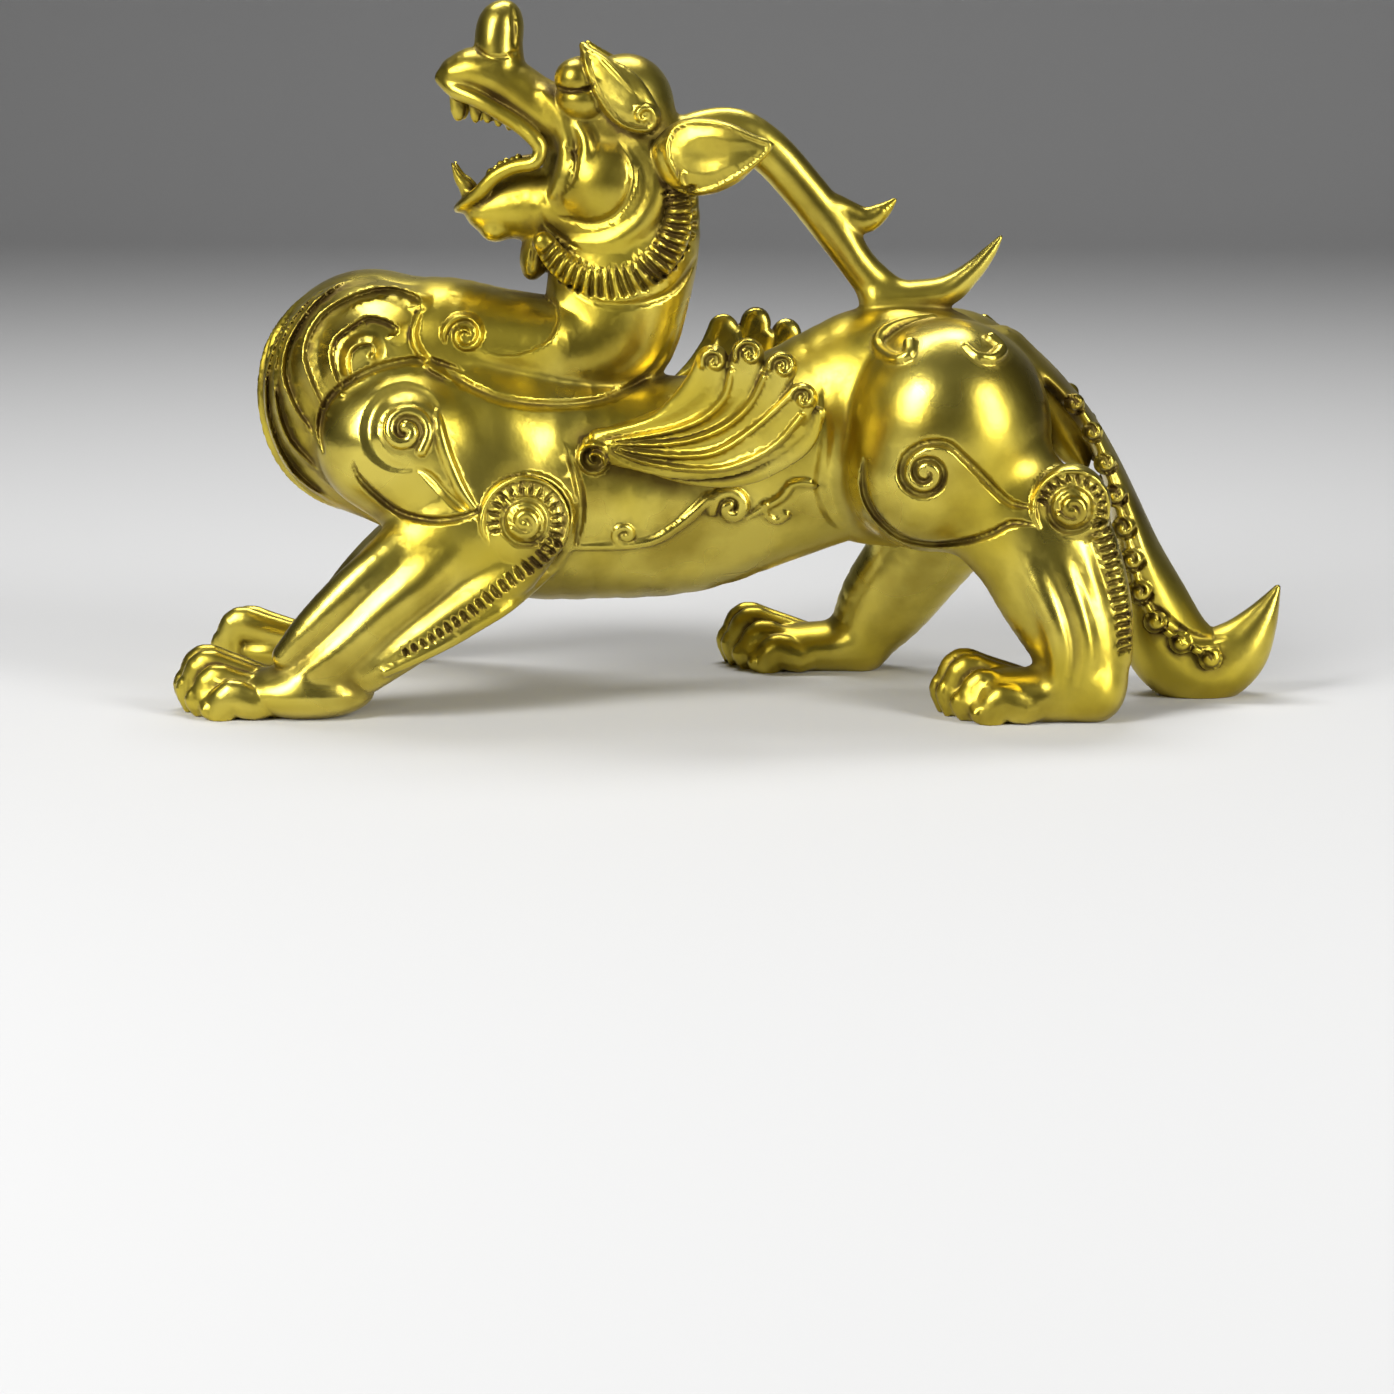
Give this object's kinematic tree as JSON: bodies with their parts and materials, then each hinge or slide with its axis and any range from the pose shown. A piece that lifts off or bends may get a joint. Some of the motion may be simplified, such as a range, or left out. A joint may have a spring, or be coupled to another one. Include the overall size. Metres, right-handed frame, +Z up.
{
  "type": "pixiu ornament",
  "caption": "Cast brass pixiu ornament: a striding beast with an open mouth, a horn arching to its rump, small wings, curled hair and a long tail that reaches the ground.",
  "frame": {"origin": "on the ground under the middle of the bounding box", "axes": "+Z up, +X from the head to the tail, the side with the hind leg drawn back towards -Y"},
  "size_m": [0.2762, 0.0962, 0.1748],
  "materials": {
    "brass": "polished, with brown patina in the carving"
  },
  "bodies": {
    "root": {"pixiu": "brass"}
  },
  "joints": []
}
